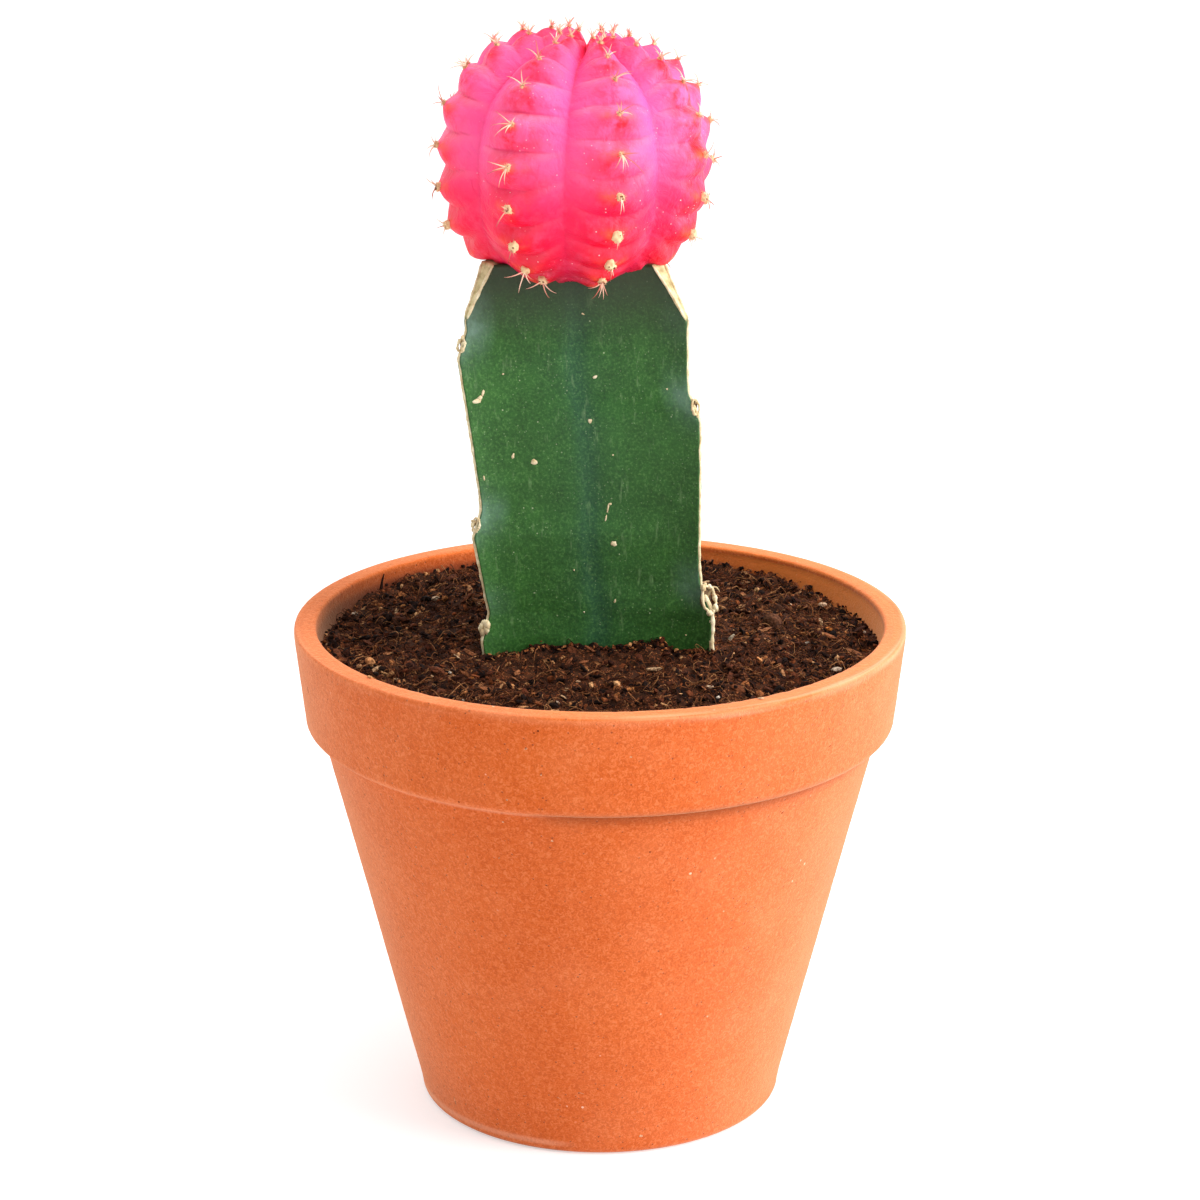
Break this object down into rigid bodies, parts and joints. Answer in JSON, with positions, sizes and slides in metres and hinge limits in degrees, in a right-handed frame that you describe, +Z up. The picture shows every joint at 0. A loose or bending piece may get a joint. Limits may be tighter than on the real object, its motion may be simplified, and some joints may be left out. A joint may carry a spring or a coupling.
{
  "type": "potted moon cactus",
  "caption": "Grafted moon cactus: a ribbed pink ball cactus with spines on a three-ribbed green stem, in a terracotta pot filled with soil.",
  "frame": {"origin": "centre of the pot's foot, on the surface that the pot stands on", "axes": "+Z up along the pot's axis; the plant's front, a flat face of the green stem, faces -Y"},
  "size_m": [0.09, 0.09, 0.1617],
  "materials": {
    "terracotta": "matte unglazed",
    "potting_mix": "loose and matte",
    "stem_green": "waxy satin",
    "moon_pink": "waxy satin"
  },
  "bodies": {
    "root": {"pot": "terracotta", "soil": "potting_mix", "rootstock": "stem_green", "scion": "moon_pink"}
  },
  "joints": []
}
